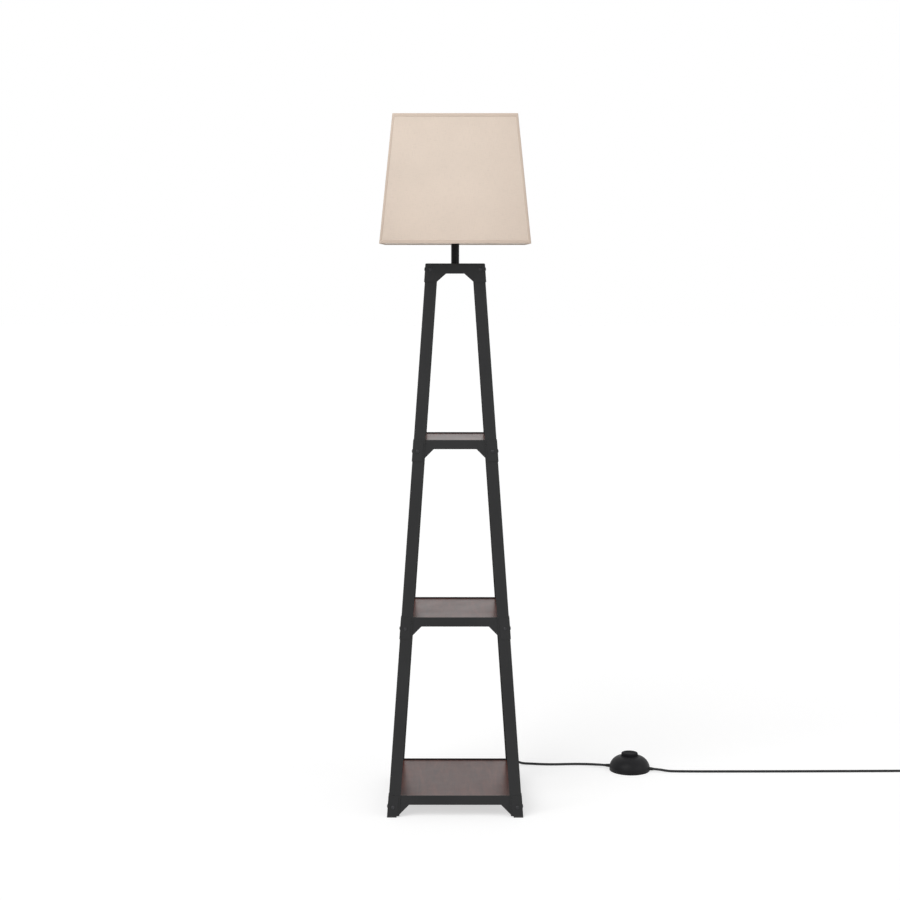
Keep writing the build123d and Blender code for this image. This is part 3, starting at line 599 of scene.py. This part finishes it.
def add_screw(mesh, seat, out, along, grip):
    """One screw on its seat, turned as it happened to end up when it was tightened."""
    across = out.cross(along)
    spin = noise.random() * pi / 3
    first = along * cos(spin) + across * sin(spin)
    second = out.cross(first)
    end = -(grip + past_grip)
    shank = [(radius, end + rise) for radius, rise in shank_rings]
    loops = [
        loop_round(seat + out * rise, first, second, radius, ring_points)
        for radius, rise in (*shank, (shank_radius, 0.0), *head_rings)]
    loops += [
        loop_round(seat + out * rise, first, second, flat / cos(pi / 6), ring_points, 6)
        for flat, rise in socket_rings]
    skin_through(mesh, loops)


def screw_row(name, node, seats):
    """The screws of some levels: height, distance outside the legs, thickness of the sheets."""
    mesh = bmesh.new()
    for height, outset, grip in seats:
        half = foot_half - leg_lean * height
        for turn in range(4):
            along = Vector((cos(turn * pi / 2), sin(turn * pi / 2), 0))
            outward = Vector((sin(turn * pi / 2), -cos(turn * pi / 2), 0))
            out = (outward + up * leg_lean).normalized()
            for side in (-1, 1):
                beside = along * (side * (half - screw_inset))
                seat = beside + outward * (half + outset) + up * height
                add_screw(mesh, seat, out, along, grip)
    piece = piece_from(name, mesh, screw_black, 40)
    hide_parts(node)
    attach(piece, "frame")


noise.seed_set(11)
shelf_levels = [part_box(f"shelf_frame_{storey}")[1].z for storey in ("lower", "middle", "upper")]
cap_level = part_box("top_cap")[1].z
shelf_grip = bracket_sheet + leg_sheet + tray_sheet
screw_row(
    "joint_screws", "frame_screws",
    [(level - screw_drop, bracket_sheet, shelf_grip) for level in shelf_levels])
screw_row(
    "top_cap_screws", "cap_screws",
    [(cap_level - cap_screw_drop, cap_sheet, cap_sheet + leg_sheet)])

bare_metal = [("Metallic", 1.0)]
zinc = uneven_finish(
    "zinc_plate", (0.40, 0.41, 0.43), (0.56, 0.57, 0.58), tone=(160, 5, 0.6),
    gloss=(260, 5), gloss_span=(0.24, 0.42), texture=(1500, 2), height=0.00003, edge=0.0004,
    settings=bare_metal)
dress(zinc, "frame_nuts", "stem_nipple", "stem_washer", "stem_lock_nut")

# ---- stem ---------------------------------------------------------------------------------
# A round steel tube, black and glossier than the frame, clamped on the cap by the nipple
# that runs through it.
stem_black = uneven_finish(
    "gloss_black_enamel", (0.0045, 0.0045, 0.0050), (0.0070, 0.0070, 0.0075), tone=(18, 4),
    gloss=(30, 6, 0.6), gloss_span=(0.16, 0.26), texture=(420, 2), height=0.00003, strength=0.5,
    edge=0.0005, settings=[("Specular IOR Level", 0.13)])
dress(stem_black, "stem_tube")

# ---- lampholder ---------------------------------------------------------------------------
# A black thermoplastic lampholder in the steel cup. The shade's hub lies on its shoulder, and
# a ring with finger ribs, screwed down its collar, keeps it there.
holder_black = moulded(
    "holder_thermoplastic", (0.011, 0.011, 0.012), (0.016, 0.016, 0.017), 0.30, 0.42)
dress(holder_black, "lampholder_body")

ring_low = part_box("shade_ring")[0].z
ring_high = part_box("shade_ring")[1].z
ring_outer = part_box("shade_ring")[1].x
ring_inner = 0.01908
ring_rounding = 0.0004
ring_shoulder = 0.0014
finger_ribs = 28
rib_depth = 0.0011
points_per_rib = 8


def ribbed_loop(height, radius, depth):
    """A loop round the lamp's middle line with finger ribs of that depth."""
    count = finger_ribs * points_per_rib
    loop = []
    for step in range(count):
        angle = 2 * pi * step / count
        wave = 0.5 - 0.5 * cos(finger_ribs * angle)
        reach = radius - depth * wave ** 2
        loop.append(Vector((reach * cos(angle), reach * sin(angle), height)))
    return loop


# Height, radius and depth of the ribs there, round the ring's section from below.
ring_section = (
    (ring_low, ring_inner + ring_rounding, 0),
    (ring_low, ring_outer - ring_shoulder, 0),
    (ring_low + ring_rounding, ring_outer, rib_depth),
    (ring_high - 0.0016, ring_outer, rib_depth),
    (ring_high - 0.0007, ring_outer - 0.0006, 0.0006),
    (ring_high - 0.0002, ring_outer - ring_shoulder, 0),
    (ring_high, ring_outer - 0.0021, 0),
    (ring_high, ring_inner + 0.0006, 0),
    (ring_high - 0.0006, ring_inner, 0),
    (ring_low + ring_rounding, ring_inner, 0))
mesh = bmesh.new()
skin_through(mesh, [ribbed_loop(*ring) for ring in ring_section], True)
finger_ring = piece_from("shade_ring_ribbed", mesh, holder_black, 50)
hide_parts("shade_ring")
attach(finger_ring, "frame")

# ---- bulb ---------------------------------------------------------------------------------
# A white frosted glass bulb, off, cemented in a nickel-plated screw cap that is turned into
# the lampholder.
bulb_white = uneven_finish(
    "frosted_glass", (0.80, 0.79, 0.77), (0.86, 0.855, 0.84), tone=(25, 3),
    gloss=(60, 4), gloss_span=(0.16, 0.28), texture=(900, 2), height=0.00002,
    settings=[
        ("Transmission Weight", 0.12), ("Subsurface Weight", 0.25), ("Subsurface Scale", 0.004)])
dress(bulb_white, "bulb_glass")

nickel = uneven_finish(
    "nickel_plate", (0.46, 0.44, 0.41), (0.60, 0.58, 0.54), tone=(140, 4),
    gloss=(180, 4), gloss_span=(0.20, 0.34), texture=(1200, 2), height=0.00003,
    settings=bare_metal)
dress(nickel, "bulb_cap")

# ---- shade: wire frame --------------------------------------------------------------------
# Steel wire welded into two squares, four corner wires, four spokes and a hub, dipped in
# white paint, which has worn a little at the edges.
paint_stops = [(0.3, (0.70, 0.69, 0.66)), (0.7, (0.78, 0.77, 0.74))]
paint_worn = (0.45, 0.43, 0.40)
wire_white, tree, shader = new_finish("white_wire_paint")
rounded, rim = rounded_edges(tree, 0.0004)
paint = ramp(tree, grain(tree, 40, 4), paint_stops)
tree.links.new(
    cover_with(tree, calc(tree, "MULTIPLY", rim, 0.25), paint, paint_worn),
    shader.inputs["Base Color"])
tree.links.new(spread(tree, grain(tree, 80, 4), 0.3, 0.7, 0.28, 0.42), shader.inputs["Roughness"])
tree.links.new(raise_by(tree, grain(tree, 700, 3), 0.00006, 0.8, rounded), shader.inputs["Normal"])
dress(wire_white, "shade_frame")

# ---- shade: cloth -------------------------------------------------------------------------
# Ecru slub cloth backed with thin film, four leaning panels in one sheet round the wire
# frame. Its rims and corners are bound with tape of the same cloth, folded over the edge.
cloth_ecru = (0.775, 0.660, 0.565)
tape_ecru = (0.640, 0.523, 0.436)
shade_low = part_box("shade_cover")[0].z
shade_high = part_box("shade_cover")[1].z
shade_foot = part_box("shade_cover")[1].x
shade_lean = 0.029 / 0.293
cloth_inset = 0.00050
cloth_thickness = 0.00070
cloth_back = cloth_inset + cloth_thickness
cloth_margin = 0.0006
cloth_sag = 0.0006
thread_pitch = 0.0009
corner_bend = 0.0030
wall_steps = 36
bend_steps = 6
cloth_rows = 26


def shade_sides():
    """The directions along and out of each of the four walls."""
    for turn in range(4):
        angle = turn * pi / 2
        yield Vector((-sin(angle), cos(angle), 0)), Vector((cos(angle), sin(angle), 0))


def bend_point(along, outward, bend, step):
    """A point of the round corner between two walls, seen from the middle of its bend."""
    angle = step / bend_steps * pi / 2
    return outward * (bend * cos(angle)) + along * (bend * sin(angle))


def shade_loop(height, inset, sag=0.0):
    """A loop round the shade at a height, that far inside its outline, its walls drawn in."""
    half = shade_foot - shade_lean * (height - shade_low) - inset
    bend = corner_bend - inset
    straight = half - bend
    loop = []
    for along, outward in shade_sides():
        for step in range(wall_steps + 1):
            share = -1 + step / (wall_steps / 2)
            slack = noise.noise((outward + along * share) * 1.7 + up * (9 * height))
            drawn = sag * (1 - share ** 2) * (1 + 0.6 * slack)
            loop.append(along * (share * straight) + outward * (half - drawn) + up * height)
        corner = along * straight + outward * straight + up * height
        for step in range(1, bend_steps):
            loop.append(corner + bend_point(along, outward, bend, step))
    return loop


def lay_threads(piece):
    """Texture coordinates in metres along and up each wall, for the cloth's threads."""
    layer = piece.data.uv_layers.new(name="threads")
    for face in piece.data.polygons:
        facing_y = abs(face.normal.y) > abs(face.normal.x)
        for corner in face.loop_indices:
            place = piece.data.vertices[piece.data.loops[corner].vertex_index].co
            layer.data[corner].uv = (place.x if facing_y else place.y, place.z)


def threads(tree, direction):
    """Fine parallel threads in the texture coordinates, each slightly uneven."""
    place = tree.nodes.new("ShaderNodeTexCoord")
    wave = tree.nodes.new("ShaderNodeTexWave")
    wave.bands_direction = direction
    wave.inputs["Scale"].default_value = pi / 10 / thread_pitch
    wave.inputs["Distortion"].default_value = 1.2
    wave.inputs["Detail"].default_value = 2.0
    wave.inputs["Detail Scale"].default_value = 0.8
    tree.links.new(place.outputs["UV"], wave.inputs["Vector"])
    return wave.outputs["Fac"]


def cloth_finish(name, colour, see_through):
    """Slub cloth: crossing threads, thicker slubs here and there, some light through it."""
    finish, tree, shader = new_finish(name)
    weft = grain(tree, 60, 3, 0.6, (1.0, 22.0, 1.0), laid="UV")
    warp = grain(tree, 60, 3, 0.6, (22.0, 1.0, 1.0), laid="UV")
    slubs = calc(tree, "MULTIPLY", calc(tree, "ADD", weft, warp), 0.5)
    cloudy = calc(tree, "MULTIPLY", grain(tree, 5, 3), 0.25)
    shades = calc(tree, "ADD", calc(tree, "MULTIPLY", slubs, 0.75), cloudy)
    darker = tuple(0.86 * part for part in colour)
    lighter = tuple(min(1.0, 1.05 * part) for part in colour)
    tone = ramp(tree, shades, [(0.36, darker), (0.60, lighter)])
    weave = calc(tree, "MULTIPLY", threads(tree, "X"), threads(tree, "Y"))
    bump = raise_by(tree, weave, 0.00012, 0.8, raise_by(tree, slubs, 0.0004, 0.6))
    tree.links.new(tone, shader.inputs["Base Color"])
    tree.links.new(spread(tree, slubs, 0.35, 0.65, 0.78, 0.95), shader.inputs["Roughness"])
    tree.links.new(bump, shader.inputs["Normal"])
    shader.inputs["Specular IOR Level"].default_value = 0.15
    shader.inputs["Sheen Weight"].default_value = 0.12
    shader.inputs["Sheen Roughness"].default_value = 0.5
    through = tree.nodes.new("ShaderNodeBsdfTranslucent")
    tree.links.new(tone, through.inputs["Color"])
    surface = mixed(tree, see_through, shader.outputs[0], through.outputs[0])
    tree.links.new(surface, tree.nodes["Material Output"].inputs["Surface"])
    return finish


outer = []
inner = []
for row in range(cloth_rows + 1):
    share = row / cloth_rows
    cloth_low = shade_low + cloth_margin
    height = cloth_low + (shade_high - cloth_margin - cloth_low) * share
    sag = cloth_sag * sin(pi * share)
    outer.append(shade_loop(height, cloth_inset, sag))
    inner.append(shade_loop(height, cloth_back, sag))
mesh = bmesh.new()
skin_through(mesh, outer + inner[::-1], True)
shade_cloth = piece_from(
    "shade_cloth", mesh, cloth_finish("ecru_slub_cloth", cloth_ecru, 0.20))
lay_threads(shade_cloth)
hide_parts("shade_cover")
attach(shade_cloth, "shade")

tape_finish = cloth_finish("ecru_binding_tape", tape_ecru, 0.10)

# The folded tape in section: depth from the rim, and distance inside the shade's outline.
tape_section = (
    (0.0080, 0.00042), (0.0079, 0.00016), (0.0074, 0.00008), (0.0040, 0.00010),
    (0.0008, 0.00008), (0.0002, 0.00030), (0.0000, 0.00070), (0.0002, 0.00110),
    (0.0008, 0.00138), (0.0040, 0.00136), (0.0074, 0.00138), (0.0079, 0.00130),
    (0.0080, cloth_back), (0.0006, cloth_back), (0.0004, 0.00085), (0.0006, cloth_inset - 0.00005))


def binding(name, rim_height, into):
    """A tape folded over one rim of the shade, eight millimetres deep outside and inside."""
    mesh = bmesh.new()
    skin_through(
        mesh, [shade_loop(rim_height + into * depth, inset) for depth, inset in tape_section], True)
    tape = piece_from(name, mesh, tape_finish, 60)
    lay_threads(tape)
    tape.parent = shade_cloth
    return tape


low_binding = binding("shade_binding_bottom", shade_low, 1)
high_binding = binding("shade_binding_top", shade_high, -1)

tape_width = 0.0052
tape_end = 0.0078
tape_front = 0.00018
tape_back = 0.00052


def tape_strip(along, outward, half, inset, wander):
    """One face of a corner tape: from one wall round the corner to the next."""
    edge = half - inset
    bend = corner_bend - inset
    strip = [outward * edge + along * (edge - tape_width + wander)]
    for step in range(bend_steps + 1):
        strip.append((outward + along) * (edge - bend) + bend_point(along, outward, bend, step))
    strip.append(along * edge + outward * (edge - tape_width - wander))
    return strip


mesh = bmesh.new()
for turn, (along, outward) in enumerate(shade_sides()):
    loops = []
    for row in range(cloth_rows + 1):
        height = shade_low + tape_end + (shade_high - shade_low - 2 * tape_end) * row / cloth_rows
        half = shade_foot - shade_lean * (height - shade_low)
        wander = 0.0002 * noise.noise(Vector((turn, 3.1, 30 * height)))
        front = tape_strip(along, outward, half, tape_front, wander)
        back = tape_strip(along, outward, half, tape_back, wander)
        loops.append([point + up * height for point in front + back[::-1]])
    skin_through(mesh, loops)
corner_tapes = piece_from("shade_corner_tapes", mesh, tape_finish, 60)
lay_threads(corner_tapes)
corner_tapes.parent = shade_cloth

# ---- strain relief ------------------------------------------------------------------------
# A black rubber gland, pushed through the rear face of the leg until its groove snaps in.
# Its tail is ribbed.
tail_ribs = 5
tail_rib_pitch = 0.0033
tail_start = 0.0030
tail_root = 0.0062
tail_taper = 0.115
rubber = moulded(
    "gland_rubber", (0.010, 0.010, 0.010), (0.016, 0.016, 0.016), 0.55, 0.72, 900, 0.25)


def turned_piece(mesh, place, axis, across, section, count):
    """Adds a ring turned about an axis; its section is a list of distance along and radius."""
    beside = axis.cross(across)
    skin_through(mesh, [
        loop_round(place + axis * run, across, beside, radius, count) for run, radius in section
    ], True)


# Distance out from the leg's face, and radius: flange, groove, flange, ribs and tip.
gland_section = [
    (-0.0035, 0.0032), (-0.0040, 0.0040), (-0.0040, 0.0068), (-0.0035, 0.0075), (-0.0017, 0.0075),
    (-0.00155, 0.0072), (-0.00155, 0.0047), (0.00005, 0.0047), (0.00005, 0.0072), (0.0004, 0.0075),
    (0.0020, 0.0075), (0.0025, 0.0070), (0.0026, 0.0062)]
for rib in range(tail_ribs):
    start = tail_start + tail_rib_pitch * rib
    swell = tail_root - tail_taper * start
    gland_section += [
        (start, swell), (start + 0.0014, swell - 0.00012), (start + 0.0018, swell - 0.0009),
        (start + 0.0028, swell - 0.0010)]
gland_section += [(0.0193, 0.0042), (0.0198, 0.0040), (gland_tail, 0.0036), (gland_tail, 0.0031)]
mesh = bmesh.new()
turned_piece(mesh, gland_place, gland_out, Vector((1, 0, 0)), gland_section, 40)
gland = piece_from("cord_gland", mesh, rubber, 40)
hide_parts("lead_gland")
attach(gland, "frame")

# ---- foot switch --------------------------------------------------------------------------
# A round switch moulded in black: flat base, domed cover with a raised lip round its mouth,
# and a large push button with a rounded edge, over a spring and a switching unit. Rubber boots
# hold the cord at both sides.
cover_black = moulded(
    "switch_cover_plastic", (0.0080, 0.0080, 0.0092), (0.0125, 0.0125, 0.0140), 0.42, 0.56, 1100,
    0.14)
button_black = moulded(
    "switch_button_plastic", (0.0080, 0.0080, 0.0092), (0.0120, 0.0120, 0.0135), 0.62, 0.76, 1400,
    0.06)
unit_grey = moulded("switching_unit_plastic", (0.20, 0.20, 0.19), (0.26, 0.26, 0.25), 0.40, 0.55)
dress(cover_black, "switch_cover", "switch_base")
dress(button_black, "switch_button")
dress(unit_grey, "switch_unit", "switch_plunger")
dress(zinc, "switch_screws")

# Height above the floor, and radius.
lip_section = (
    (0.0345, 0.02095), (0.0357, 0.02095), (0.0363, 0.02125), (0.0366, 0.02180), (0.0364, 0.02240),
    (0.0358, 0.02310), (0.0349, 0.02380), (0.0340, 0.02450))
mesh = bmesh.new()
turned_piece(mesh, switch_place, up, Vector((1, 0, 0)), lip_section, 72)
mouth_lip = piece_from("switch_mouth_lip", mesh, cover_black, 60)
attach(mouth_lip, "frame")

spring_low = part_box("switch_spring")[0].z
spring_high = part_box("switch_spring")[1].z
spring_wire = 0.0014
spring_radius = 0.0068
spring_turns = 4
spring_steps = 120
loops = []
for step in range(spring_steps + 1):
    share = step / spring_steps
    angle = radians(switch_turn) + 2 * pi * spring_turns * share
    outward = Vector((cos(angle), sin(angle), 0))
    rise = spring_low + spring_wire / 2 + (spring_high - spring_low - spring_wire) * share
    wire_middle = switch_place + outward * spring_radius + up * rise
    loops.append(loop_round(wire_middle, outward, up, spring_wire / 2, 12))
mesh = bmesh.new()
skin_through(mesh, loops)
spring = piece_from("button_spring", mesh, zinc, 60)
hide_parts("switch_spring")
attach(spring, "frame")
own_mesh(spring)

# Distance from the switch's middle, and radius: inside the cover, collar, ribs and tip.
boot_ribs = 4
boot_rib_pitch = 0.0022
boot_rib_start = 0.0508
boot_root = 0.0043
boot_taper = 0.08
boot_section = [
    (0.0432, 0.0010), (0.0432, 0.0042), (0.0436, 0.0045), (0.0500, 0.0045), (0.0506, 0.0044)]
for rib in range(boot_ribs):
    start = boot_rib_start + boot_rib_pitch * rib
    swell = boot_root - boot_taper * (start - boot_rib_start)
    boot_section += [
        (start, swell), (start + 0.0011, swell - 0.0001), (start + 0.0014, swell - 0.0004)]
boot_section += [(0.0596, 0.0035), (0.0604, 0.0034), (0.0608, 0.0031), (0.0608, 0.0010)]
for boot_name, away in (("switch_boot_in", -switch_along), ("switch_boot_out", switch_along)):
    mesh = bmesh.new()
    turned_piece(mesh, switch_place + boot_height, away, up.cross(away), boot_section, 32)
    boot = piece_from(boot_name, mesh, rubber, 40)
    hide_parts("switch_boots")
    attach(boot, "frame")

# ---- plug ---------------------------------------------------------------------------------
# A black plug moulded round the put-away end of the cord and its two rolled brass blades.
# Its tapering tail takes the cord's bend.
plug_black = moulded("plug_plastic", (0.012, 0.012, 0.013), (0.019, 0.019, 0.020), 0.34, 0.50, 1200)
brass = uneven_finish(
    "rolled_brass", (0.56, 0.41, 0.19), (0.70, 0.53, 0.27), tone=(40, 5, 0.6, (1, 14, 14)),
    gloss=(120, 5), gloss_span=(0.22, 0.38), texture=(90, 3, 0.5, (1, 20, 20)), height=0.00003,
    edge=0.0003, settings=bare_metal)
dress(plug_black, "plug_body")
dress(brass, "plug_blades")
